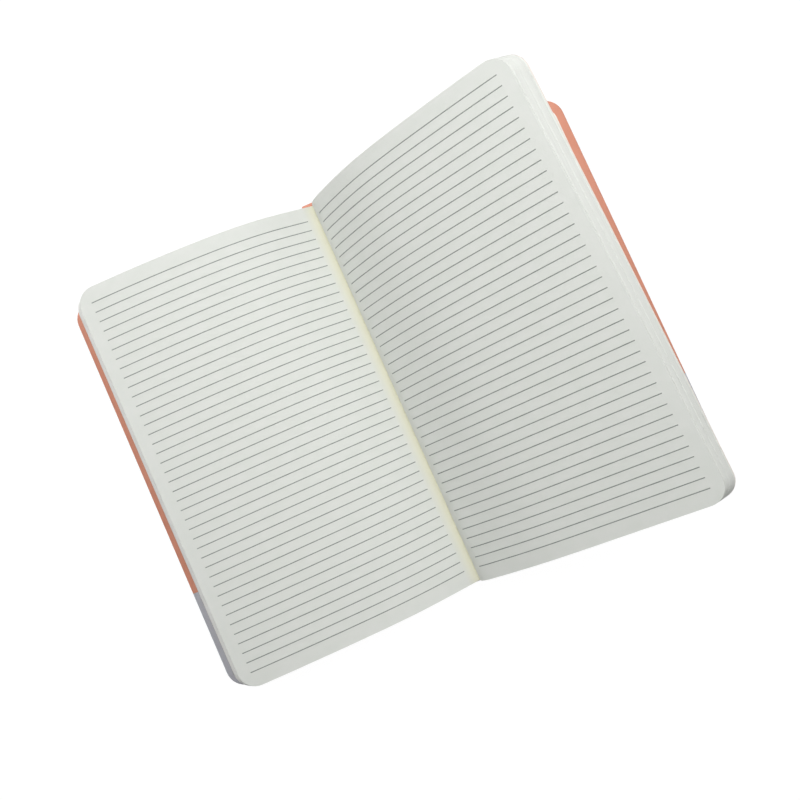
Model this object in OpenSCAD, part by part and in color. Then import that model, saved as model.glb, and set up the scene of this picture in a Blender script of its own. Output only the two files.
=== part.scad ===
// An open case-bound notebook of ruled leaves, lying on a table.
// Row frame: X across the open covers, +X to the back cover, +Y to the head, +Z up.
// The two covers lie flat. The leaves are one block that bends out of the spine:
// a thin stack arches low over the front cover, a thicker one stands up as a wedge
// over the back cover and is a little higher at the head than at the tail.

/* [Covers] */
// Height of the covers from tail to head
cover_h = 215; // [150:1:320]
// Half the width of the open case
cover_half = 139; // [132:0.1:220]
// Radius of the covers' fore corners
cover_r = 10; // [1:0.5:15]
// Thickness of the cover boards
board_t = 2.0; // [1:0.1:4]
// Thickness of the covering cloth
cloth_t = 0.35; // [0.2:0.05:1]
// Width of the cloth turned in over the board edges
turn_in = 14; // [6:1:25]
// Height of the second cloth at the tail
band_h = 53.5; // [0:0.5:120]

/* [Spine] */
// Width of the spine board
spine_w = 14; // [6:0.5:40]
// Thickness of the spine board
spine_t = 1.6; // [0.8:0.1:3]
// Width of the bare cloth joint beside the spine board
joint_w = 7; // [4:0.5:12]

/* [Leaves] */
// How far the leaves stay inside the covers at head and tail
leaf_in = 2.5; // [1:0.1:6]
// Offset of the leaves towards the head of the case (negative: towards the tail)
leaf_y = -1.2; // [-2:0.1:2]
// Thickness of the stack over the front cover
left_t = 6; // [2:0.5:12]
// Thickness of the stack over the back cover
right_t = 8; // [3:0.5:9]
// Length of the front page from the gutter to its fore-edge
left_len = 129.1; // [100:0.1:131]
// Length of the back page from the gutter to its fore-edge
right_len = 136; // [100:0.1:138]
// How far the lowest leaf of the front stack steps out past the top one
left_step = 3.9; // [0:0.1:6]
// How far the lowest leaf of the back stack steps out past the top one
right_step = 4.6; // [0:0.1:10]
// Radius of the leaves' fore corners
leaf_r = 9; // [1:0.5:10]

/* [Ruling] */
// Number of ruled lines on a page
lines = 40; // [10:1:40]
// Width of a ruled line
line_w = 0.5; // [0.2:0.05:1]
// Distance from the gutter to the lines of the front page
start_l = 6.3; // [3:0.1:15]
// Distance from the gutter to the lines of the back page
start_r = 9.2; // [3:0.1:15]
// Distance from the end of a line to the page's fore-edge
end_in = 6.2; // [3:0.1:20]

/* [Strap] */
// Width of the elastic strap
strap_w = 6; // [3:0.5:12]
// Thickness of the elastic strap
strap_t = 0.5; // [0.4:0.1:1.5]
// Distance of the strap from the back cover's fore-edge
strap_in = 15; // [8:1:40]
// Distance of a strap slot from the cover's head or tail edge
slot_in = 9; // [6:0.5:20]

/* [Hidden] */
$fn = 48;
e = 0.01;
z0 = strap_t;                       // outer face of the case
z_board = z0 + cloth_t;             // where the boards start
z_in = z_board + board_t;           // inner face of the cover boards
z_top = z_in + cloth_t;             // top of the turned-in cloth
paste_t = 0.2;                      // endpaper over the turned-in cloth
z_sp = z_board + spine_t;           // inner face of the spine board
hinge_x = spine_w / 2 + joint_w / 2;
board_x = spine_w / 2 + joint_w;    // spine-side edge of a cover board
slack = 0.3;                        // bare hinge line on each side of its axis
square = 4.5;                       // cloth left bare around an endpaper
leaf_h = cover_h - 2 * leaf_in;
pitch = leaf_h / (lines + 2);       // from one ruled line to the next
pap_t = 0.25;                       // endpaper in the joint
lin_t = 0.3;                        // spine lining
edge_y = cover_h / 2;
split_y = -edge_y + band_h;
valley = [-spine_w / 7, z_sp + cloth_t + 0.9 * left_t]; // bottom of the gutter, in X and Z
groove = 0.4;                       // depth of the gaps between the back stack's sections
ink_t = 0.04;                       // thickness of a ruled line; half of it is left under the line

// Slope of a page along its way from the gutter: percent of the page's length, degrees
tab_l = [[0, 33], [4, 28], [9, 27], [14, 26.5], [20, 23.5], [31, 14.5], [46.5, 6.3], [66, 2], [85, -1],
         [108, -6]];
tab_r = [[0, 93], [3.2, 80], [6.2, 62], [9.5, 50], [13, 46.5], [22, 45.3], [29.5, 41.8], [40.5, 36],
         [55.5, 32.5], [74, 31.8], [108, 29.7]];
// Slope added at the head edge and taken away at the tail edge: percent, degrees
twist_l = [[0, 0], [11, 3.3], [108, 0.1]];
twist_r = [[0, 0], [10, 7.3], [108, 1.3]];
// Depth of a stack, pressed thinner at its bound side: percent, share of the full depth
root = [[0, 0.88], [11, 0.88], [30, 1]];
// Places where a page's section is taken: three between the gutter and the lines' start,
// then these shares of the way from there to the fore-edge
shares = [0, 0.022, 0.048, 0.085, 0.135, 0.19, 0.26, 0.35, 0.45, 0.56, 0.67, 0.77, 0.865];
function page_len(side) = side < 0 ? left_len : right_len;
function start(side) = side < 0 ? start_l : start_r;
function places(side) =
    let (a = start(side), l = page_len(side)) concat([0, a / 3, a * 2 / 3], [for (q = shares) a + q * (l - a)]);
ln = len(shares) + 3;

function slope(side, s, y) =
    let (q = 100 * s / page_len(side))
    lookup(q, side < 0 ? tab_l : tab_r) + lookup(q, side < 0 ? twist_l : twist_r) * 2 * y / leaf_h;
function dir(side, a) = [side * cos(a), sin(a)];
function down(side, a) = [side * sin(a), -cos(a)];
function thick(side, s) = (side < 0 ? left_t : right_t) * lookup(100 * s / page_len(side), root);
// Length of the page at height y, shortened by the round corner
function reach(side, y) =
    let (l = page_len(side), q = abs(y) - (leaf_h / 2 - leaf_r))
    q <= 0 ? l : l - leaf_r + sqrt(max(0, leaf_r * leaf_r - q * q));
// The step of the back stack is larger at the head than at the tail
function step(side, y) = side < 0 ? left_step : right_step * (1 + 0.4 * y / leaf_h);
function stops(side, y) = concat(places(side), [reach(side, y)]);
// Points along the page at the stops b, each step in the slope at its middle
function walk(side, y, b) =
    [for (i = 0, p = valley; i < len(b);
          p = i + 1 < len(b) ? p + (b[i + 1] - b[i]) * dir(side, slope(side, (b[i] + b[i + 1]) / 2, y)) : p,
          i = i + 1) p];
// The same points moved away from the surface by d, with a common normal per stop
function moved(side, y, b, pts, d) =
    [for (i = [0:len(b) - 1]) pts[i] + d * down(side, slope(side, b[i], y))];
// Fore-edge of a stack: share of the depth, and how far a groove goes in
fore_l = [[0.33, 0], [0.66, 0]];
fore_r = [for (g = [0.1, 0.47, 0.88]) each [[g - 0.035, 0], [g, groove], [g + 0.035, 0]]];
function fore(side, y, p) =
    let (a = slope(side, reach(side, y), y), st = step(side, y), t = thick(side, page_len(side)))
    [for (q = side < 0 ? fore_l : fore_r) p + (st * q[0] - q[1]) * dir(side, a) + t * q[0] * down(side, a)];
// Underside of a stack: the lowest leaf reaches further by the step
function under(side, y, b, pts) =
    let (n = len(b), a = slope(side, b[n - 1], y), t = thick(side, page_len(side)))
    concat([for (i = [0:n - 2]) pts[i] + thick(side, b[i]) * down(side, slope(side, b[i], y))],
           [pts[n - 1] + step(side, y) * dir(side, a) + t * down(side, a)]);
function rev(v) = [for (i = [len(v) - 1:-1:0]) v[i]];
function tail(v) = [for (i = [1:len(v) - 1]) v[i]];
// One section of the block, in order: gutter, front page, front fore-edge, its underside,
// the other underside, the other fore-edge, the back page back to the gutter
function section(y) =
    let (bl = stops(-1, y), br = stops(1, y), pl = walk(-1, y, bl), pr = walk(1, y, br))
    concat(pl, fore(-1, y, pl[ln]), rev(under(-1, y, bl, pl)), under(1, y, br, pr),
           rev(fore(1, y, pr[ln])), rev(tail(pr)));
function line_y(i) = ((lines - 1) / 2 - i) * pitch;
rim = [for (k = [0:5]) leaf_h / 2 - leaf_r * (1 - sin(15 + 15 * k))];
rows = concat([for (k = [5:-1:0]) -rim[k]],
              [for (i = [lines - 1:-1:0]) if (abs(line_y(i)) < rim[0] - 0.2) line_y(i)], rim);

nl = ln + 1;
fl = len(fore_l);
fr = len(fore_r);
n_sec = nl + fl + nl + nl + fr + ln;
// Index in a section of the k-th point of each run
function i_fl(k) = nl + k;
function i_ul(k) = nl + fl + (nl - 1 - k);
function i_ur(k) = nl + fl + nl + k;
function i_fr(k) = nl + fl + nl + nl + (fr - 1 - k);
function i_tr(k) = k == 0 ? 0 : nl + fl + nl + nl + fr + (ln - k);
cap = concat(
    [for (k = [0:ln - 2]) each [[k, k + 1, i_ul(k + 1)], [k, i_ul(k + 1), i_ul(k)]]],
    [for (k = [0:ln - 2]) each [[i_tr(k), i_ur(k), i_ur(k + 1)], [i_tr(k), i_ur(k + 1), i_tr(k + 1)]]],
    [[0, i_ul(0), i_ur(0)]],
    [[ln - 1, ln, i_ul(ln - 1)], [i_ul(ln - 1), ln, i_fl(0)]],
    [for (k = [0:fl - 2]) [i_ul(ln - 1), i_fl(k), i_fl(k + 1)]], [[i_ul(ln - 1), i_fl(fl - 1), i_ul(ln)]],
    [[i_ur(ln - 1), i_tr(ln), i_tr(ln - 1)], [i_ur(ln - 1), i_fr(0), i_tr(ln)]],
    [for (k = [0:fr - 2]) [i_ur(ln - 1), i_fr(k + 1), i_fr(k)]], [[i_ur(ln - 1), i_ur(ln), i_fr(fr - 1)]]);
module block() {
    nr = len(rows);
    pts = [for (y = rows) each [for (p = section(y)) [p[0], y, p[1]]]];
    sides = [for (r = [0:nr - 2]) for (k = [0:n_sec - 1])
        let (a = r * n_sec + k, b = r * n_sec + (k + 1) % n_sec)
        each [[a, b, b + n_sec], [a, b + n_sec, a + n_sec]]];
    polyhedron(pts, concat(sides, [for (f = cap) [f[2], f[1], f[0]]],
        [for (f = cap) [for (v = f) v + (nr - 1) * n_sec]]), convexity = 12);
}

// A ruled line: a flat strip of ink that follows the page's facets
module rule(side, i) {
    y = line_y(i);
    s0 = start(side);
    all = places(side);
    b = concat([for (v = all) if (v > s0 - e) v], [page_len(side) - end_in]);
    full = concat([for (v = all) if (v <= s0 - e) v], b);
    skip = len(full) - len(b);
    ys = [y - line_w / 2, y + line_w / 2];
    pts = [for (yy = ys) for (d = [-ink_t / 2, -1.5 * ink_t])
        let (w = walk(side, yy, full), m = moved(side, yy, full, w, d))
        each [for (k = [skip:len(full) - 1]) [m[k][0], yy, m[k][1]]]];
    n = len(b);
    quads = [for (k = [0:n - 2]) each [
        [k, k + 1, n + k + 1, n + k],
        [2 * n + k, 3 * n + k, 3 * n + k + 1, 2 * n + k + 1],
        [n + k, n + k + 1, 3 * n + k + 1, 3 * n + k],
        [k, 2 * n + k, 2 * n + k + 1, k + 1]]];
    ends = [[0, n, 3 * n, 2 * n], [n - 1, 3 * n - 1, 4 * n - 1, 2 * n - 1]];
    fq = concat(quads, ends);
    tri = [for (q = fq) each side < 0
        ? [[q[0], q[1], q[2]], [q[0], q[2], q[3]]]
        : [[q[2], q[1], q[0]], [q[3], q[2], q[0]]]];
    polyhedron(pts, tri, convexity = 4);
}
module rules(side) { for (i = [0:lines - 1]) rule(side, i); }

// Plan of a cover from x_a to x_b on the +X side, fore corners rounded
module plan(x_a, x_b, h, r) {
    union() {
        translate([x_a, -h / 2]) square([x_b - x_a - r, h]);
        translate([x_b - 2 * r, -h / 2 + r]) square([2 * r, h - 2 * r]);
        for (s = [-1, 1]) translate([x_b - r, s * (h / 2 - r)]) circle(r);
    }
}
module slab(x_a, x_b, h, r, za, zb) { translate([0, 0, za]) linear_extrude(zb - za) plan(x_a, x_b, h, r); }
module slots(t) {
    for (s = [-1, 1]) translate([cover_half - strap_in - strap_w / 2 - t, s * (edge_y - slot_in) - 0.5 - t, -1])
        cube([strap_w + 2 * t, 1 + 2 * t, z_in + 1]);
}
module board(back) {
    difference() {
        slab(board_x, cover_half - cloth_t, cover_h - 2 * cloth_t, cover_r - cloth_t, z_board, z_in);
        if (back) slots(0.1);
    }
}
module cloth(back) {
    difference() {
        slab(hinge_x + slack, cover_half, cover_h, cover_r, z0, z_top);
        slab(board_x, cover_half - cloth_t, cover_h - 2 * cloth_t, cover_r - cloth_t, z_board, z_in);
        translate([hinge_x, -cover_h, z_board]) cube([board_x - hinge_x, 2 * cover_h, z_top]);
        translate([board_x - 1, -(edge_y - turn_in), z_in - e])
            cube([cover_half - turn_in - board_x + 1, cover_h - 2 * turn_in, z_top]);
        if (back) slots(0.1);
    }
}
module above() { translate([-cover_half, split_y, 0]) cube([2 * cover_half, cover_h, 2 * z_top]); }
module below() { translate([-cover_half, split_y - cover_h, 0]) cube([2 * cover_half, cover_h, 2 * z_top]); }
module endpaper() {
    h = cover_h - 2 * square;
    xe = cover_half - square;
    slab(board_x - pap_t, xe, h, cover_r * 0.7, z_top, z_top + paste_t);
    translate([board_x - pap_t, -(edge_y - turn_in), z_in])
        cube([cover_half - turn_in - board_x + pap_t, cover_h - 2 * turn_in, cloth_t]);
    translate([board_x - pap_t, -h / 2, z_board]) cube([pap_t, h, board_t + cloth_t]);
    translate([hinge_x + slack, -h / 2, z_board]) cube([joint_w / 2 - slack, h, pap_t]);
}
module spine_wrap() {
    w = hinge_x - slack;
    translate([-w, -edge_y, z0]) cube([2 * w, cover_h, cloth_t]);
    for (s = [0, 1]) mirror([0, s, 0]) {
        translate([-spine_w / 2, -edge_y, z0]) cube([spine_w, cloth_t, z_sp + cloth_t - z0]);
        translate([-spine_w / 2, -edge_y, z_sp]) cube([spine_w, turn_in, cloth_t]);
    }
}

// The first and last point of the block's bound side
foot_l = valley + thick(-1, 0) * down(-1, slope(-1, 0, 0));
foot_r = valley + thick(1, 0) * down(1, slope(1, 0, 0));
module lining() {
    n = (foot_r - foot_l) / norm(foot_r - foot_l);
    d = [n[1], -n[0]] * lin_t;
    zb = z_sp + cloth_t;
    rotate([90, 0, 0]) translate([0, 0, -leaf_h / 2 + 1]) linear_extrude(leaf_h - 2)
        polygon([foot_l, foot_r, foot_r + d, foot_l + d + n * 0.35, [foot_l[0] + 0.6, zb + lin_t],
                 [spine_w / 2, zb + lin_t], [spine_w / 2, zb], [foot_l[0] - 1, zb]]);
}
module joint_paper() {
    h = cover_h - 2 * square;
    for (s = [0, 1]) mirror([s, 0, 0])
        translate([spine_w / 2, -h / 2, z_board]) cube([joint_w / 2 - slack, h, pap_t]);
    translate([-spine_w / 2, -(edge_y - turn_in), z_sp]) cube([spine_w, cover_h - 2 * turn_in, cloth_t]);
    for (s = [0, 1]) mirror([s, 0, 0])
        translate([spine_w / 2, -(edge_y - turn_in), z_board])
            cube([pap_t, cover_h - 2 * turn_in, spine_t + cloth_t]);
}
module strap_band() {
    y = edge_y - slot_in;
    x = cover_half - strap_in - strap_w / 2;
    translate([x, -y - 0.5, 0]) cube([strap_w, 2 * y + 1, strap_t]);
    for (s = [-1, 1]) translate([x, s * y - 0.5, 0]) cube([strap_w, 1, z_in]);
}

module pages() { color([0.9, 0.9, 0.88]) translate([0, leaf_y, 0]) block(); }
module left_rules() { color([0.62, 0.66, 0.62]) translate([0, leaf_y, 0]) rules(-1); }
module right_rules() { color([0.62, 0.66, 0.62]) translate([0, leaf_y, 0]) rules(1); }
module front_board() { color([0.62, 0.58, 0.52]) mirror([1, 0, 0]) board(false); }
module back_board() { color([0.62, 0.58, 0.52]) board(true); }
module spine_board() {
    color([0.62, 0.58, 0.52]) translate([-spine_w / 2, -edge_y + cloth_t, z_board])
        cube([spine_w, cover_h - 2 * cloth_t, spine_t]);
}
module front_cloth() { color([0.8, 0.48, 0.38]) intersection() { mirror([1, 0, 0]) cloth(false); above(); } }
module front_cloth_tail() {
    color([0.62, 0.62, 0.66]) intersection() { mirror([1, 0, 0]) cloth(false); below(); }
}
module back_cloth() { color([0.8, 0.48, 0.38]) intersection() { cloth(true); above(); } }
module back_cloth_tail() { color([0.62, 0.62, 0.66]) intersection() { cloth(true); below(); } }
module spine_cloth() { color([0.8, 0.48, 0.38]) intersection() { spine_wrap(); above(); } }
module spine_cloth_tail() { color([0.62, 0.62, 0.66]) intersection() { spine_wrap(); below(); } }
module front_endpaper() { color([0.93, 0.91, 0.88]) mirror([1, 0, 0]) endpaper(); }
module back_endpaper() { color([0.93, 0.91, 0.88]) endpaper(); }
module spine_paper() { color([0.93, 0.91, 0.88]) joint_paper(); }
module spine_lining() { color([0.85, 0.83, 0.78]) translate([0, leaf_y, 0]) lining(); }
module strap() { color([0.72, 0.42, 0.34]) strap_band(); }

pages();
left_rules();
right_rules();
spine_lining();
spine_paper();
spine_board();
spine_cloth();
spine_cloth_tail();
front_board();
front_cloth();
front_cloth_tail();
front_endpaper();
back_board();
back_cloth();
back_cloth_tail();
back_endpaper();
strap();
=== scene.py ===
# %% [markdown]
# # An open notebook with a strap
# The object is a case-bound notebook of ruled leaves that lies open on a table. The front cover
# is on the left. The leaves over it arch low; the thicker stack over the back cover springs up
# as a wedge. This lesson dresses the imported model: it builds the leaves, the cloth of the case,
# the cloth joints and the strap as surfaces worked out with numpy, and gives every piece paper,
# cloth or board made of shader nodes. All lengths in the model are metres; the tables below are
# in millimetres, as on a bookbinder's sheet, and are scaled once.

# %% Load the frame
import math
import bmesh
import bpy
import numpy as np
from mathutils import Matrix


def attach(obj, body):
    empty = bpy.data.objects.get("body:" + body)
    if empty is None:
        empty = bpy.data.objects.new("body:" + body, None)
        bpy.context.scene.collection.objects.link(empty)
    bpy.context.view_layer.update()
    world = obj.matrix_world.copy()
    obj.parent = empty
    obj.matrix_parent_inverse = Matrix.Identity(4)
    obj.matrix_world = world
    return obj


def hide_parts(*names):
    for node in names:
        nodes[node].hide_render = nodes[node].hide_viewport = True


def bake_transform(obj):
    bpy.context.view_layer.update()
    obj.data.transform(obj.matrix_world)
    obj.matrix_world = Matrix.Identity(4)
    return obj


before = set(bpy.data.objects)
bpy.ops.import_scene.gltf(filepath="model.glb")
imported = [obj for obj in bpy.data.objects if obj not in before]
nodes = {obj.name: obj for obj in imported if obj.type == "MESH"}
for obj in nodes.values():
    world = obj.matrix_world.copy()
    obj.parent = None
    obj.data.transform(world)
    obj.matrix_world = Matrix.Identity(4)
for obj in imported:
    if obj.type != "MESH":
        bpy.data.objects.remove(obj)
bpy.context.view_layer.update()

MM = 0.001
print("nodes", sorted(nodes))

# %% [markdown]
# ## The camera
# The picture was taken by hand from about 45 cm above the gutter, with the book turned in the
# frame. A camera could be aimed with a Track To constraint, but then its roll is left to chance.
# Here the three axes of the camera are written down as unit vectors instead, so that the place
# of every page corner in the frame is fixed.

# %% Camera from its three axes
right = np.array([0.91283, -0.40825, -0.00885])
up = np.array([0.40804, 0.91106, 0.0589])
back = np.cross(right, up)
up = np.cross(back, right)
eye = np.array([-8.8, -32.2, 450.5]) * MM
cam_data = bpy.data.cameras.new("camera")
cam_data.sensor_width = 36.0
cam_data.lens = 38.985
camera = bpy.data.objects.new("camera", cam_data)
bpy.context.scene.collection.objects.link(camera)
matrix = np.eye(4)
matrix[:3, 0], matrix[:3, 1], matrix[:3, 2], matrix[:3, 3] = right, up, back, eye
camera.matrix_world = matrix.T.tolist()
bpy.context.scene.camera = camera
print("camera at", eye, "lens", cam_data.lens)

# %% [markdown]
# ## Putting a grid of points into a mesh
# Every new piece is a surface over two parameters. The points are worked out as one numpy array
# of rows and columns, and the faces are the same four-corner pattern shifted over the grid.
# Adding vertices one by one in bmesh would give the same mesh, but far more slowly.

# %% Grid helpers
def grid_faces(rows, cols, wrap_cols=False, wrap_rows=False, start=0):
    """Quads of a rows by cols grid: corner (i, j), (i, j+1), (i+1, j+1), (i+1, j), the last
    column or row joined to the first where wrap is true."""
    i = np.arange(rows if wrap_rows else rows - 1)[:, None]
    j = np.arange(cols if wrap_cols else cols - 1)[None, :]
    i2, j2 = (i + 1) % rows, (j + 1) % cols
    quads = np.stack([i * cols + j, i * cols + j2, i2 * cols + j2, i2 * cols + j], -1)
    return quads.reshape(-1, 4) + start


def new_piece(name, points, faces, smooth_below=35.0):
    """A mesh object from points in millimetres; edges sharper than the angle stay crisp."""
    mesh = bpy.data.meshes.new(name)
    mesh.from_pydata((np.asarray(points, float) * MM).tolist(), [], [list(f) for f in faces])
    mesh.update()
    mesh.shade_smooth()
    mesh.set_sharp_from_angle(angle=math.radians(smooth_below))
    piece = bpy.data.objects.new(name, mesh)
    bpy.context.scene.collection.objects.link(piece)
    return piece


def point_values(piece, name, values):
    """Stores one number per vertex under a name that a material can read."""
    layer = piece.data.attributes.new(name, "FLOAT", "POINT")
    layer.data.foreach_set("value", np.asarray(values, np.float32).ravel())


def turn_outward(piece):
    """Makes all face normals of a closed piece point out of it."""
    bm = bmesh.new()
    bm.from_mesh(piece.data)
    bmesh.ops.recalc_face_normals(bm, faces=bm.faces)
    bm.to_mesh(piece.data)
    bm.free()


print("grid helpers ready:", len(grid_faces(3, 4)), "quads in a 3 by 4 grid")

# %% [markdown]
# ## How a page bends
# Paper bends one way only, so a page is described by its slope along the way from the gutter to
# the fore-edge. The stack over the back cover is also a little steeper at the head than at the
# tail, which is a slow twist along the spine. Summing the cosine and the sine of the slope gives
# the curve of the page. A Bezier curve could be shaped by eye, but it would not keep the paper's
# length, and the ruled lines must.

# %% Slope tables and the page curve
LEAF_H, CORNER = 210.0, 9.0
LEAF_Y = -1.2          # the leaves sit a little nearer the tail than the middle of the case
VALLEY = np.array([-2.0, 8.2])
LENGTH = {-1: 129.1, 1: 136.0}
SLOPE = {
    -1: np.array([[0, 33], [4, 28], [9, 27], [14, 26.5], [20, 23.5], [31, 14.5], [46.5, 6.3], [66, 2],
                  [85, -1], [108, -6]], float),
    1: np.array([[0, 93], [3.2, 80], [6.2, 62], [9.5, 50], [13, 46.5], [22, 45.3], [29.5, 41.8],
                 [40.5, 36], [55.5, 32.5], [74, 31.8], [108, 29.7]], float),
}
TWIST = {-1: ([0, 11, 108], [0, 3.3, 0.1]), 1: ([0, 10, 108], [0, 7.3, 1.3])}
DEPTH = {-1: 6.0, 1: 8.0}
FINE = np.linspace(0, 150, 751)


def page_slope(side, s, y):
    """Slope in radians at way s and height y: the table over the percent of the page's length,
    eased over 3 mm, plus the twist, which is full at the head edge and reversed at the tail."""
    percent = 100.0 / LENGTH[side]
    base = np.interp(FINE * percent, SLOPE[side][:, 0], SLOPE[side][:, 1])
    ease = np.hanning(17)
    base = np.convolve(np.pad(base, 8, mode="edge"), ease / ease.sum(), mode="valid")
    turn = np.interp(np.asarray(s) * percent, *TWIST[side]) * 2.0 * y / LEAF_H
    return np.radians(np.interp(s, FINE, base) + turn)


def fore_step(side, y):
    """How far the lowest leaf reaches past the top one; more at the head on the back stack."""
    return 3.9 + 0.0 * y if side < 0 else 4.6 * (1.0 + 0.4 * y / LEAF_H)


def page_points(side, s, y):
    """X and Z of the page at ways s (columns) for heights y (rows): the running sum of
    (cos slope, sin slope) from the gutter."""
    yy = np.asarray(y, float)[:, None]
    a = page_slope(side, FINE[None, :], yy)
    ds = FINE[1]
    start = np.zeros((len(yy), 1))
    run = lambda f: np.concatenate([start, np.cumsum((f[:, 1:] + f[:, :-1]) / 2 * ds, 1)], 1)
    cx, cz = run(np.cos(a)), run(np.sin(a))
    s = np.broadcast_to(s, (len(yy), np.shape(s)[-1]))
    x = np.stack([np.interp(s[k], FINE, cx[k]) for k in range(len(yy))])
    z = np.stack([np.interp(s[k], FINE, cz[k]) for k in range(len(yy))])
    return VALLEY[0] + side * x, VALLEY[1] + z


def page_reach(side, y):
    """Length of the page at height y: full, less the round corner near head and tail."""
    q = np.clip(np.abs(y) - (LEAF_H / 2 - CORNER), 0, CORNER)
    return LENGTH[side] - CORNER + np.sqrt(CORNER ** 2 - q ** 2)


probe = page_points(1, np.array([135.0]), [0.0])
print("back fore-edge at mid height: x %.1f z %.1f mm" % (probe[0][0, 0], probe[1][0, 0]))

# %% [markdown]
# ## The block of leaves
# All leaves are one piece here. Each row of its mesh is a closed outline across the book: the
# front page, its fore-edge, its underside, the bound side, then the other stack. The lowest
# leaves of the bent stack reach further than the top one, so the fore-edge is a slope with three
# fine gaps where the sewn sections part. The outline could be lofted with a modifier, but a grid
# keeps the number of each leaf, which the paper's material uses to draw the leaf edges.

# %% Outline rows of the block
def press(side, s):
    """Share of the full depth that a stack has at way s: pressed thinner where it is bound."""
    return np.interp(100.0 * s / LENGTH[side], [0, 11, 30], [0.88, 0.88, 1.0])


COLS = 110
rim_y = LEAF_H / 2 - CORNER * (1 - np.sin(np.radians(np.linspace(6, 90, 9))))
rows_y = np.concatenate([-rim_y[::-1], np.linspace(-95.5, 95.5, 56), rim_y])
GAPS = {-1: ((0.22, 0.25),), 1: ((0.1, 0.5), (0.47, 0.5), (0.88, 0.45))}


def stack_outline(side, y):
    """Top curve, fore-edge and underside of one stack as (x, z, depth, way), rows by columns."""
    reach = page_reach(side, y)[:, None]
    t = np.linspace(0, 1, COLS)[None, :]
    s = reach * (0.35 * t + 0.65 * t ** 1.5)
    x, z = page_points(side, s, y)
    a = page_slope(side, s, y[:, None])
    nx, nz = side * np.sin(a), -np.cos(a)
    d = DEPTH[side] * press(side, s)
    out_x, out_z = x + nx * d, z + nz * d
    e, f = side * np.cos(a[:, -1:]), np.sin(a[:, -1:])
    grow = np.linspace(0, 1, COLS)[None, :] ** 10
    step = fore_step(side, y)[:, None]
    out_x, out_z = out_x + e * step * grow, out_z + f * step * grow
    near = [g + off for g, _ in GAPS[side] for off in (-0.026, -0.012, 0.0, 0.012, 0.026)]
    q = np.unique(np.concatenate([np.linspace(0, 1, 22), near]))[None, 1:-1]
    cut = sum(deep * np.exp(-((q - g) / 0.013) ** 2) for g, deep in GAPS[side])
    fx = x[:, -1:] + e * (step * q - cut) + nx[:, -1:] * DEPTH[side] * q
    fz = z[:, -1:] + f * (step * q - cut) + nz[:, -1:] * DEPTH[side] * q
    top = np.stack([x, z, 0 * x, s], -1)
    edge = np.stack([fx, fz, 0 * fx + DEPTH[side] * q, 0 * fx + reach], -1)
    under = np.stack([out_x, out_z, 0 * x + DEPTH[side], s], -1)
    return top, edge, under


tops = {side: stack_outline(side, rows_y) for side in (-1, 1)}
print("columns round one section:", sum(p.shape[1] for side in tops for p in tops[side]) - 1)

# %% The block's mesh with its caps
ft, fe, fu = tops[-1]
bt, be, bu = tops[1]
ring = np.concatenate([ft, fe, fu[:, ::-1], bu, be[:, ::-1], bt[:, :0:-1]], 1)
n_row, n_col = ring.shape[:2]
ys = np.broadcast_to(rows_y[:, None], (n_row, n_col))
points = np.stack([ring[..., 0], ys + LEAF_Y, ring[..., 1]], -1).reshape(-1, 3)
faces = grid_faces(n_row, n_col, wrap_cols=True)
i_ft = np.arange(COLS)
i_fe = COLS + np.arange(fe.shape[1])
i_fu = COLS + fe.shape[1] + COLS - 1 - np.arange(COLS)
i_bu = i_fu[0] + 1 + np.arange(COLS)
i_be = i_bu[-1] + be.shape[1] - np.arange(be.shape[1])
i_bt = np.concatenate([[0], n_col - np.arange(1, COLS)])


def cap_faces(top, edge, under):
    """Ladder of quads between top and underside, then a fan of triangles to the fore-edge."""
    k = np.arange(COLS - 2)
    ladder = np.stack([top[k], top[k + 1], under[k + 1], under[k]], -1).tolist()
    run = [top[-2], top[-1], *edge, under[-1]]
    fan = [[under[-2], run[j], run[j + 1]] for j in range(len(run) - 1)]
    return ladder + fan


low = cap_faces(i_ft, i_fe, i_fu) + [[0, i_fu[0], i_bu[0]]]
low += [f[::-1] for f in cap_faces(i_bt, i_be, i_bu)]
high = [[v + (n_row - 1) * n_col for v in f[::-1]] for f in low]
page_block = new_piece("page_block", points, [f[::-1] for f in faces.tolist() + low + high])
turn_outward(page_block)
page_block.data.set_sharp_from_angle(angle=math.radians(35))
point_values(page_block, "leaf_depth", ring[..., 2])
point_values(page_block, "leaf_way", ring[..., 3])
shares = np.where(ring[..., 0] < VALLEY[0], ring[..., 2] / DEPTH[-1], ring[..., 2] / DEPTH[1])
point_values(page_block, "leaf_share", shares)
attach(page_block, "book_block")
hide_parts("pages")
print("page_block:", len(page_block.data.polygons), "faces")

# %% [markdown]
# ## Printed ruling
# The lines are printed, so they have no thickness to speak of. They could be drawn in the
# paper's material, but then they would blur in a baked picture. Here each line is a very thin
# strip that lies 0.03 mm over the page and follows its bend, and all lines of a page are one
# piece.

# %% Ruled lines of both pages
LINES, LINE_W = 40, 0.46
PITCH = LEAF_H / (LINES + 2)
LINE_START = {-1: 6.3, 1: 9.2}
LINE_LEN = {-1: 116.6, 1: 120.6}


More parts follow.
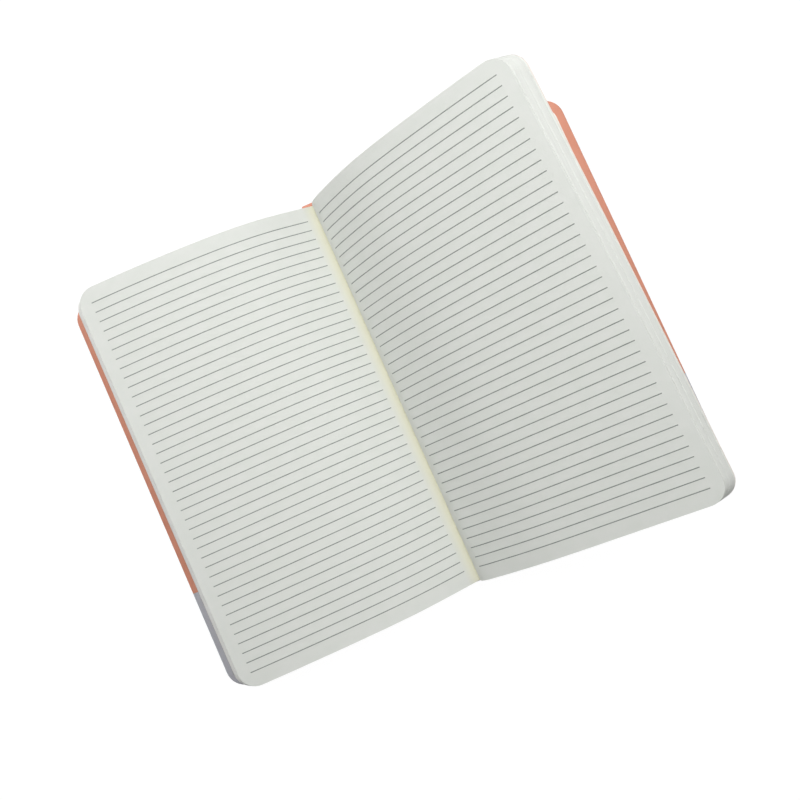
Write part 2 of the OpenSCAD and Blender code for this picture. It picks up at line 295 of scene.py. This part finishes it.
def ruling(side, name):
    """Forty thin strips: along the page's way in columns, four corners of a flat section in rows."""
    way = LINE_START[side] + np.linspace(0, 1, 90) ** 1.15 * LINE_LEN[side]
    centre = ((LINES - 1) / 2 - np.arange(LINES)) * PITCH
    all_points, all_faces, tone = [], [], []
    corner = [(-0.5, 0.012), (0.5, 0.012), (0.5, 0.03), (-0.5, 0.03)]
    for n, y0 in enumerate(centre):
        strip = []
        for w, lift in corner:
            y = np.array([y0 + w * LINE_W])
            x, z = page_points(side, way, y)
            a = page_slope(side, way[None, :], y[:, None])
            strip.append(np.stack([x[0] - side * np.sin(a[0]) * lift, 0 * way + y[0] + LEAF_Y,
                                   z[0] + np.cos(a[0]) * lift], -1))
        strip = np.stack(strip, 1)
        quads = grid_faces(len(way), 4, wrap_cols=True, start=n * 4 * len(way))
        ends = [[n * 4 * len(way) + k for k in (3, 2, 1, 0)],
                [(n + 1) * 4 * len(way) - 4 + k for k in (0, 1, 2, 3)]]
        all_points.append(strip.reshape(-1, 3))
        all_faces += quads.tolist() + ends
        tone.append(np.full(4 * len(way), n / LINES))
    if side < 0:
        all_faces = [f[::-1] for f in all_faces]
    piece = new_piece(name, np.concatenate(all_points), all_faces, 60)
    point_values(piece, "line_number", np.concatenate(tone))
    return piece


front_ruling = ruling(-1, "front_page_ruling")
back_ruling = ruling(1, "back_page_ruling")
for piece, node in ((front_ruling, "left_rules"), (back_ruling, "right_rules")):
    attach(piece, "book_block")
    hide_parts(node)
print("ruling:", len(front_ruling.data.polygons), "faces a page")

# %% [markdown]
# ## Cloth round a board
# A cover is a board with cloth glued round it, so its edges are softly round and its corners are
# turned in. A box with a Bevel modifier would do, but the turned-in cloth, the round fore
# corners and the hollow beside the spine all want their own radius. The surface used here has
# one parameter round the outline and one from the middle of the outer face over the edge to the
# middle of the inner face.

# %% Outline and cover surface
Z_OUT, CLOTH, BOARD, SPINE_BOARD = 0.5, 0.35, 2.0, 1.6
Z_TOP = Z_OUT + 2 * CLOTH + BOARD
COVER_H, COVER_HALF, COVER_R = 215.0, 139.0, 10.0
BOARD_X, TURN_IN, SQUARE = 14.0, 14.0, 4.5
SPLIT_Y = -COVER_H / 2 + 53.5


def outline(x_a, x_b, y_a, y_b, r_a, r_b, inset, n_arc=10, n_side=48):
    """Points round a rectangle, moved inwards by inset; corner radii r_a at x_a and r_b at x_b,
    each less the inset but never under 0.05."""
    xa, xb, ya, yb = x_a + inset, x_b - inset, y_a + inset, y_b - inset
    ra, rb = max(r_a - inset, 0.05), max(r_b - inset, 0.05)
    t = np.linspace(0, 1, n_side + 1)[:-1]
    arc = np.radians(np.linspace(0, 90, n_arc))
    parts = []
    for cx, cy, r, turn in ((xb - rb, ya + rb, rb, -90), (xb - rb, yb - rb, rb, 0),
                            (xa + ra, yb - ra, ra, 90), (xa + ra, ya + ra, ra, 180)):
        a = arc + math.radians(turn)
        parts.append(np.stack([cx + r * np.cos(a), cy + r * np.sin(a)], -1))
    loop = []
    for k in range(4):
        p, q = parts[k][-1], parts[(k + 1) % 4][0]
        loop += [parts[k], p + (q - p) * t[1:, None]]
    return np.concatenate(loop)


def covered_board(name, x_a, x_b, y_a, y_b, z_a, z_b, r_a, r_b, edge_r, side):
    """A slab with rounded rims: rings of the outline, set in and raised along a half circle of
    radius edge_r at each rim, closed over both faces."""
    bend = np.radians(np.linspace(0, 90, 6))
    rim_in = edge_r * (1 - np.sin(bend))
    rim_up = edge_r * (1 - np.cos(bend))
    half = min(x_b - x_a, y_b - y_a) / 2 - 0.02
    faces_in = [half, half * 0.5, TURN_IN if half > 2 * TURN_IN else half * 0.3]
    insets = np.concatenate([faces_in, rim_in, rim_in[::-1], faces_in[::-1]])
    heights = np.concatenate([[z_a] * 3, z_a + rim_up, z_b - rim_up[::-1], [z_b] * 3])
    rings = [np.column_stack([outline(x_a, x_b, y_a, y_b, r_a, r_b, d), np.full(4 * 10 + 4 * 47, z)])
             for d, z in zip(insets, heights)]
    grid = np.stack(rings)
    grid[..., 0] *= side
    cols = grid.shape[1]
    caps = [list(range(cols))[::-1], list(range((len(rings) - 1) * cols, len(rings) * cols))]
    faces = grid_faces(len(rings), cols, wrap_cols=True).tolist() + caps
    if side < 0:
        faces = [f[::-1] for f in faces]
    return new_piece(name, grid.reshape(-1, 3), faces, 40)


def cut_at(piece, y, keep_above, gap=0.04):
    """Cuts the piece with a plane across Y and closes the cut with a flat face."""
    bm = bmesh.new()
    bm.from_mesh(piece.data)
    bmesh.ops.remove_doubles(bm, verts=bm.verts, dist=1e-6)
    y = (y + (gap if keep_above else -gap)) * MM
    cut = bmesh.ops.bisect_plane(bm, geom=bm.verts[:] + bm.edges[:] + bm.faces[:], plane_co=(0, y, 0),
                                 plane_no=(0, 1, 0), clear_inner=keep_above, clear_outer=not keep_above)
    edges = [g for g in cut["geom_cut"] if isinstance(g, bmesh.types.BMEdge)]
    bmesh.ops.edgeloop_fill(bm, edges=edges)
    bmesh.ops.recalc_face_normals(bm, faces=bm.faces)
    bm.to_mesh(piece.data)
    bm.free()
    piece.data.set_sharp_from_angle(angle=math.radians(40))


case_pieces = {}
CLOTHS = (("", True), ("_tail", False))
COVERS = (("front", -1), ("back", 1))
for cover, side in COVERS:
    for part, above in CLOTHS:
        piece = covered_board(cover + "_cover_cloth" + part, BOARD_X - 0.5, COVER_HALF, -COVER_H / 2,
                              COVER_H / 2, Z_OUT, Z_TOP - 0.005, 0.8, COVER_R, 1.0, side)
        cut_at(piece, SPLIT_Y, above)
        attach(piece, cover + "_cover")
        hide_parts(cover + "_cloth" + part)
        case_pieces[piece.name] = piece
for part, above in CLOTHS:
    piece = covered_board("spine_cover_cloth" + part, -7.35, 7.35, -COVER_H / 2, COVER_H / 2, Z_OUT,
                          Z_OUT + 2 * CLOTH + SPINE_BOARD - 0.02, 0.6, 0.6, 0.7, 1)
    cut_at(piece, SPLIT_Y, above)
    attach(piece, "book_block")
    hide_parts("spine_cloth" + part)
    case_pieces[piece.name] = piece
print("case cloth:", sorted(case_pieces))

# %% [markdown]
# ## The joints of the case
# Beside the spine the cloth is not backed by board. It dips a little and is the hinge on which a
# cover swings. Each joint here is one closed strip with many columns across, from the spine
# board to the cover board.

# %% Dipping strips beside the spine
def joint_strip(name, side, y_a, y_b, z_a, z_b, dip):
    """A closed strip across the joint: X from the spine board to the cover board in columns,
    lifted or lowered by dip times the square of a sine, Y along the book in rows."""
    u = np.linspace(0, 1, 25)
    x = side * (7.05 + u * (BOARD_X - 0.25 - 7.05))
    sag = dip * np.sin(math.pi * u) ** 2
    y = np.linspace(y_a, y_b, 40)
    loop_x = np.concatenate([x, x[::-1]])
    loop_z = np.concatenate([z_a + sag, (z_b + sag)[::-1]])
    pts = np.stack([np.broadcast_to(loop_x, (40, 50)), np.broadcast_to(y[:, None], (40, 50)),
                    np.broadcast_to(loop_z, (40, 50))], -1)
    faces = grid_faces(40, 50, wrap_cols=True).tolist()
    faces += [list(range(50))[::-1], list(range(39 * 50, 40 * 50))]
    if side > 0:
        faces = [f[::-1] for f in faces]
    piece = new_piece(name, pts.reshape(-1, 3), faces, 40)
    turn_outward(piece)
    return piece


joint_pieces = {}
half_h = COVER_H / 2
for cover, side in COVERS:
    for name, y_a, y_b, z_a, z_b, dip, kind in (
            ("_joint_cloth", SPLIT_Y + 0.04, half_h - 0.5, Z_OUT, Z_OUT + CLOTH, 0.12, "main_cloth"),
            ("_joint_cloth_tail", -half_h + 0.5, SPLIT_Y - 0.04, Z_OUT, Z_OUT + CLOTH, 0.12,
             "tail_cloth"),
            ("_joint_paper", -half_h + SQUARE, half_h - SQUARE, Z_OUT + CLOTH + 0.25,
             Z_OUT + CLOTH + 0.45, 0.1, "endpaper")):
        piece = joint_strip(cover + name, side, y_a, y_b, z_a, z_b, dip)
        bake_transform(piece)
        joint_pieces[piece.name] = piece
print("joint strips:", sorted(joint_pieces))

# %% [markdown]
# ## The elastic strap
# The strap is a narrow woven elastic. With the book open it lies flat behind the back cover and
# dives through a slot at each end. It is a flat profile with round edges carried along a path;
# the rubber cords inside show as fine ridges, which the material draws as bumps along the strap.

# %% Strap along its path
STRAP_W, STRAP_T, STRAP_X = 6.0, 0.48, COVER_HALF - 15.0
SLOT_Y = COVER_H / 2 - 9


def strap_surface():
    """A stadium-shaped section of width STRAP_W and thickness STRAP_T, carried along a path that
    runs level under the cover and turns up into the cover at each end on a quarter circle of 0.6 mm."""
    turn = np.radians(np.linspace(0, 90, 7))
    flat = np.linspace(-(SLOT_Y - 0.6), SLOT_Y - 0.6, 60)
    cy = np.concatenate([flat, SLOT_Y - 0.6 + 0.6 * np.sin(turn[1:]), [SLOT_Y]])
    cz = np.concatenate([0 * flat, 0.6 * (1 - np.cos(turn[1:])), [2.0]]) + STRAP_T / 2 + 0.01
    ang = np.concatenate([0 * flat, turn[1:], [math.pi / 2]])
    cy = np.concatenate([-cy[:59:-1], cy])
    cz = np.concatenate([cz[:59:-1], cz])
    ang = np.concatenate([-ang[:59:-1], ang])
    r = STRAP_T / 2
    a = np.radians(np.linspace(-90, 90, 7))
    sx = np.concatenate([STRAP_W / 2 - r + r * np.cos(a), -(STRAP_W / 2 - r) - r * np.cos(a)])
    sn = np.concatenate([r * np.sin(a), -r * np.sin(a)])
    pts = np.stack([STRAP_X + sx[None, :] + 0 * cy[:, None],
                    cy[:, None] - np.sin(ang)[:, None] * sn[None, :],
                    cz[:, None] + np.cos(ang)[:, None] * sn[None, :]], -1)
    n = pts.shape[1]
    faces = grid_faces(len(cy), n, wrap_cols=True).tolist()
    faces += [list(range(n))[::-1], list(range((len(cy) - 1) * n, len(cy) * n))]
    return pts.reshape(-1, 3), faces


strap = new_piece("elastic_strap", *strap_surface(), 50)
turn_outward(strap)
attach(strap, "back_cover")
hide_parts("strap")
print("strap:", len(strap.data.polygons), "faces")

# %% [markdown]
# ## A short way to write materials
# A material is a graph of nodes. Linking them by hand takes many lines, so one small class wraps
# a socket and lets plain arithmetic add the Math nodes, and one method makes every other node
# from its type, its settings and the values of its sockets.

# %% Socket class
class Sock:
    """A number or colour that flows through a node tree."""

    def __init__(self, tree, out):
        self.tree, self.out = tree, out

    def node(self, kind, settings=None, output=0, **inputs):
        """Adds a node: settings are set first, then each input by its name or i0, i1 and so on."""
        n = self.tree.nodes.new(kind)
        for key, value in (settings or {}).items():
            if key == "stops":
                while len(n.color_ramp.elements) < len(value):
                    n.color_ramp.elements.new(0.5)
                for element, (place, colour) in zip(n.color_ramp.elements, value):
                    element.position, element.color = place, colour
            else:
                setattr(n, key, value)
        for key, value in inputs.items():
            by_place = key[0] == "i" and key[1:].isdigit()
            socket = n.inputs[int(key[1:]) if by_place else key.replace("_", " ")]
            if isinstance(value, Sock):
                self.tree.links.new(value.out, socket)
            elif value is not None:
                socket.default_value = value
        return Sock(self.tree, n.outputs[output])

    def math(self, how, other=0.0, clamp=False):
        return self.node("ShaderNodeMath", {"operation": how, "use_clamp": clamp}, i0=self, i1=other)

    def __add__(self, other): return self.math("ADD", other)
    def __radd__(self, other): return self.math("ADD", other)
    def __sub__(self, other): return self.math("SUBTRACT", other)
    def __mul__(self, other): return self.math("MULTIPLY", other)
    def __rmul__(self, other): return self.math("MULTIPLY", other)

    def __rsub__(self, other):
        return self.node("ShaderNodeMath", {"operation": "SUBTRACT"}, i0=other, i1=self)

    def between(self, low, high):
        """0 below low, 1 above high, straight in between."""
        return self.node("ShaderNodeMapRange", {"clamp": True}, i0=self, i1=low, i2=high, i3=0.0, i4=1.0)

    def mix(self, a, b):
        """Colour a where this is 0 and colour b where it is 1."""
        return self.node("ShaderNodeMix", {"data_type": "RGBA"}, 2, i0=self, i6=a, i7=b)


def srgb(r, g, b):
    """A colour from its picture values 0 to 255, in the linear numbers that a shader wants."""
    v = np.array([r, g, b]) / 255.0
    lin = np.where(v <= 0.04045, v / 12.92, ((v + 0.055) / 1.055) ** 2.4)
    return (float(lin[0]), float(lin[1]), float(lin[2]), 1.0)


def start_material(name):
    """A new material: returns it, its shader node and a Sock of Object coordinates in metres."""
    material = bpy.data.materials.new(name)
    material.use_nodes = True
    tree = material.node_tree
    shader = tree.nodes["Principled BSDF"]
    coords = tree.nodes.new("ShaderNodeTexCoord")
    return material, shader, Sock(tree, coords.outputs["Object"])


def finish_material(material, shader, colour, roughness, height=None, strength=0.2, distance=0.00005):
    """Links colour, roughness and bump to the shader."""
    links = material.node_tree.links
    for socket, value in (("Base Color", colour), ("Roughness", roughness)):
        if isinstance(value, Sock):
            links.new(value.out, shader.inputs[socket])
        else:
            shader.inputs[socket].default_value = value
    if height is not None:
        bump = height.node("ShaderNodeBump", Strength=strength, Distance=distance, Height=height)
        links.new(bump.out, shader.inputs["Normal"])
    return material


print("white paper in shader numbers", [round(c, 3) for c in srgb(226, 229, 224)])

# %% [markdown]
# ## Paper
# Writing paper looks plain, but it has three scales: clouds of fibre a few millimetres wide,
# a fine tooth, and on the cut edges the stripes of single leaves. The stripes follow the leaf
# depth that was stored on the block's vertices, so they run along the leaves on all sides. The
# edges of the front stack are painted lighter and those of the back stack darker, as painted
# light and shade. The lowest leaves get a little painted pink for light reflected from the cloth
# beside them. In the gutter the paper is painted yellower, partly for glue and partly for light
# that comes through the sheets. The crease would come out too dark, because no light passes
# through one solid block; a weak glow there stands for it. Subsurface scattering would be the
# other way, and wasn't tried.

# %% Leaves and endpapers
def leaf_paper():
    """Leaf colour = paper, a little clouded; in the gutter a yellow tint that is partly glue and partly
    painted light that comes through the sheets.
    Edges striped by depth; their tone is painted lighter on the front stack and darker on the back stack
    for the light on them, and painted pink on the lowest leaves for light that the cloth reflects.
    Near the crease, way below 5 mm, a weak glow stands for light that comes through the sheets."""
    material, shader, place = start_material("leaf_paper")
    stored = lambda name: place.node("ShaderNodeAttribute", {"attribute_name": name}, 2)
    depth, way = stored("leaf_depth"), stored("leaf_way")
    cloud = place.node("ShaderNodeTexNoise", Vector=place, Scale=160.0, Detail=4.0)
    tooth = place.node("ShaderNodeTexNoise", Vector=place, Scale=2600.0, Detail=2.0)
    stretch = place.node("ShaderNodeVectorMath", {"operation": "MULTIPLY"}, i0=place, i1=(9.0, 9.0, 9.0))
    bundle = place.node("ShaderNodeCombineXYZ", X=depth * 7.0)
    along = place.node("ShaderNodeVectorMath", {"operation": "ADD"}, i0=stretch, i1=bundle)
    stripe = place.node("ShaderNodeTexNoise", Vector=along, Scale=1.0, Detail=5.0, Roughness=0.75)
    on_edge = depth.between(0.02, 0.1) * (1.0 - depth.between(7.9, 7.98))
    cloth_bounce_pink = stored("leaf_share").between(0.92, 0.97)
    back_side = place.node("ShaderNodeSeparateXYZ", None, 0, Vector=place).between(-0.0022, -0.0018)
    # painted light: the gutter's yellow tint is partly glue and partly light that comes through and
    # bounces between the sheets
    gutter = 1.0 - (way + back_side * 4.0).between(2.5, 7.0)
    paper = cloud.between(0.3, 0.7).mix(srgb(219, 222, 216), srgb(222, 224, 219))
    paper = (gutter * 0.8).mix(paper, srgb(226, 225, 207))
    # painted light and shade: the front stack's leaf edges are painted lighter and the back stack's
    # darker for how light falls on them; the stripes are the leaves' own
    lit_front_edges = stripe.between(0.3, 0.7).mix(srgb(236, 237, 232), srgb(249, 250, 246))
    shaded_back_edges = stripe.between(0.3, 0.7).mix(srgb(212, 214, 209), srgb(229, 231, 226))
    edges = back_side.mix(lit_front_edges, shaded_back_edges)
    # painted reflected light: the lowest leaves' edges are tinted pink for light that the coral cloth
    # beside them reflects
    edges = (cloth_bounce_pink * 0.7).mix(edges, srgb(238, 224, 214))
    colour = on_edge.mix(paper, edges)
    height = tooth * 0.35 + stripe * on_edge * 3.0
    through = (1.0 - way.between(0.0, 5.0)) * (1.0 - depth.between(0.02, 0.1))
    glow = through.mix((0, 0, 0, 1), (0.085, 0.083, 0.062, 1))
    material.node_tree.links.new(glow.out, shader.inputs["Emission Color"])
    shader.inputs["Emission Strength"].default_value = 1.0
    return finish_material(material, shader, colour, 0.82, height, 0.35, 0.00004)


def sheet_paper(name, light, dark):
    """Plain sheet: two close tones in fibre clouds, fine tooth."""
    material, shader, place = start_material(name)
    cloud = place.node("ShaderNodeTexNoise", Vector=place, Scale=220.0, Detail=5.0)
    tooth = place.node("ShaderNodeTexNoise", Vector=place, Scale=2200.0, Detail=2.0)
    tone = cloud.between(0.3, 0.7).mix(dark, light)
    return finish_material(material, shader, tone, 0.85, tooth, 0.3, 0.00004)


page_block.data.materials.append(leaf_paper())
endpaper_mat = sheet_paper("endpaper", srgb(238, 234, 228), srgb(230, 226, 219))
lining_mat = sheet_paper("lining_paper", srgb(222, 216, 202), srgb(208, 201, 186))
for name in ("front_endpaper", "back_endpaper", "spine_paper"):
    nodes[name].data.materials.clear()
    nodes[name].data.materials.append(endpaper_mat)
nodes["spine_lining"].data.materials.clear()
nodes["spine_lining"].data.materials.append(lining_mat)
for name in ("front_joint_paper", "back_joint_paper"):
    joint_pieces[name].data.materials.append(endpaper_mat)
print("paper on", page_block.name, "and the endpapers")

# %% [markdown]
# ## Printed line, board, cloth and elastic
# The ruling is thin ink, so its tone wavers a little along each line. Board is grey pulp with
# dark specks. The case cloth is a fine plain weave under a matt coating: two sets of waves at
# right angles give the threads. The elastic has ridges along its length.

# %% Ink and board
def line_ink():
    """Grey-green ink whose tone wavers along the line and thins out in places."""
    material, shader, place = start_material("line_ink")
    waver = place.node("ShaderNodeTexNoise", Vector=place, Scale=420.0, Detail=3.0)
    tone = waver.between(0.25, 0.75).mix(srgb(122, 130, 124), srgb(146, 152, 146))
    return finish_material(material, shader, tone, 0.7)


def grey_board():
    """Grey pulp with darker specks."""
    material, shader, place = start_material("grey_board")
    speck = place.node("ShaderNodeTexNoise", Vector=place, Scale=900.0, Detail=6.0)
    tone = speck.between(0.35, 0.65).mix(srgb(140, 133, 122), srgb(176, 170, 160))
    return finish_material(material, shader, tone, 0.9, speck, 0.4, 0.0001)


ink = line_ink()
for piece in (front_ruling, back_ruling):
    piece.data.materials.append(ink)
board_mat = grey_board()
for name in ("front_board", "back_board", "spine_board"):
    nodes[name].data.materials.clear()
    nodes[name].data.materials.append(board_mat)
print("ink and board set")

# %% Case cloth and elastic
def case_cloth(name, light, dark, rub):
    """Plain weave of 0.42 mm threads: sine of X plus sine of Y; rubbed paler by broad clouds."""
    material, shader, place = start_material(name)
    split = lambda axis: place.node("ShaderNodeSeparateXYZ", None, axis, Vector=place)
    fine = place.node("ShaderNodeTexNoise", Vector=place, Scale=700.0, Detail=3.0)
    x, y = split(0) * (2 * math.pi / 0.00042), split(1) * (2 * math.pi / 0.00042)
    warp = (x + fine * 1.5).math("SINE")
    weft = (y + fine * 1.5).math("SINE")
    weave = (warp * weft * 0.5 + 0.5) * 0.8 + fine * 0.4
    cloud = place.node("ShaderNodeTexNoise", Vector=place, Scale=45.0, Detail=5.0, Roughness=0.6)
    tone = weave.between(0.2, 0.9) * 0.5 + cloud.between(0.3, 0.7) * 0.5
    colour = (cloud.between(0.62, 0.8) * 0.35).mix(tone.mix(dark, light), rub)
    rough = 0.62 + weave * 0.12
    return finish_material(material, shader, colour, rough, weave, 0.35, 0.00006)


def woven_elastic():
    """Seven ridges across the width, and small cross threads along it."""
    material, shader, place = start_material("woven_elastic")
    split = lambda axis: place.node("ShaderNodeSeparateXYZ", None, axis, Vector=place)
    ridge = (split(0) * (2 * math.pi / 0.00085)).math("SINE")
    cross = (split(1) * (2 * math.pi / 0.0007)).math("SINE")
    knit = ridge * 0.35 + cross * 0.15 + 0.5
    tone = knit.between(0.1, 0.9).mix(srgb(158, 92, 72), srgb(206, 134, 110))
    return finish_material(material, shader, tone, 0.75, knit, 0.6, 0.0002)


coral = case_cloth("coral_cloth", srgb(221, 150, 126), srgb(207, 136, 110), srgb(227, 162, 140))
lavender = case_cloth("lavender_cloth", srgb(190, 191, 198), srgb(174, 175, 183), srgb(200, 201, 206))
for name, piece in {**case_pieces, **joint_pieces}.items():
    if not name.endswith("paper"):
        piece.data.materials.append(lavender if name.endswith("tail") else coral)
strap.data.materials.append(woven_elastic())
print("cloth on", len(case_pieces) + len(joint_pieces) - 2, "pieces")

# %% [markdown]
# ## Table and light
# The picture has a white ground with hardly any shadow. Its light is soft and comes from above
# and from the head: both pages grow darker towards the tail, and the steep side of the back page
# is darker than the rest. One big lamp could not give that fall-off and also reach the covers
# beside the leaves, so seven soft lamps share the work. Each was rendered alone, and the watts
# were solved so that the sum came near the tones of the pages, then turned a little.
# The world is white where the camera sees it, but lights the scene only weakly.

# %% Floor, lamps and world
bpy.ops.mesh.primitive_plane_add(size=6.0, location=(0, 0, 0))
floor = bpy.context.object
floor.name = "table"
floor_mat = bpy.data.materials.new("table_white")
floor_mat.use_nodes = True
tree = floor_mat.node_tree
paint = tree.nodes["Principled BSDF"]
paint.inputs["Base Color"].default_value = (0.86, 0.86, 0.86, 1)
paint.inputs["Roughness"].default_value = 0.9
glow = tree.nodes.new("ShaderNodeEmission")
glow.inputs["Strength"].default_value = 1.06
rays = tree.nodes.new("ShaderNodeLightPath")
seen = Sock(tree, rays.outputs["Is Camera Ray"])
CAMERA_SHARE = 0.92    # part of the floor's brightness that is plain white to the camera
share = seen * CAMERA_SHARE
blend_node = tree.nodes.new("ShaderNodeMixShader")
tree.links.new(share.out, blend_node.inputs[0])
tree.links.new(paint.outputs[0], blend_node.inputs[1])
tree.links.new(glow.outputs[0], blend_node.inputs[2])
tree.links.new(blend_node.outputs[0], tree.nodes["Material Output"].inputs["Surface"])
floor.data.materials.append(floor_mat)


def soft_lamp(name, place, aim, size, watts):
    """A square area lamp at a place, turned to face the aim point."""
    data = bpy.data.lights.new(name, "AREA")
    data.size, data.energy = size, watts
    lamp = bpy.data.objects.new(name, data)
    bpy.context.scene.collection.objects.link(lamp)
    away = np.array(place, float) - np.array(aim, float)
    away /= np.linalg.norm(away)
    side = np.cross([0.0, 1.0, 0.02], away)
    side /= np.linalg.norm(side)
    turn = np.eye(4)
    turn[:3, 0], turn[:3, 1], turn[:3, 2], turn[:3, 3] = side, np.cross(away, side), away, place
    lamp.matrix_world = turn.T.tolist()
    return lamp


LAMPS = (
    ("far_head", (0.0, 1.0, 1.2), 0.6, 5.4),
    ("overhead", (0.0, 0.0, 1.1), 0.6, 2.3),
    ("right_side", (0.8, 0.0, 0.7), 0.5, 1.3),
    ("head_left", (-0.5, 0.45, 0.7), 0.5, 1.45),
    ("low_left", (-0.45, 0.65, 0.35), 0.5, 1.05),
    ("near_right", (0.22, 0.12, 0.5), 0.3, 1.05),
    ("near_left", (-0.2, 0.22, 0.45), 0.3, 0.28),
)
for name, place, size, watts in LAMPS:
    soft_lamp(name, place, (0.0, 0.03, 0.03), size, watts)
world = bpy.data.worlds.new("pale_room")
world.use_nodes = True
world.node_tree.nodes["Background"].inputs["Color"].default_value = (1, 1, 1, 1)
world_path = world.node_tree.nodes.new("ShaderNodeLightPath")
world_rays = Sock(world.node_tree, world_path.outputs["Is Camera Ray"])
world_light = 0.07
strength = world_rays * (1.0 - world_light) + world_light
world.node_tree.links.new(strength.out, world.node_tree.nodes["Background"].inputs["Strength"])
bpy.context.scene.world = world
bpy.context.scene.view_settings.view_transform = "Standard"
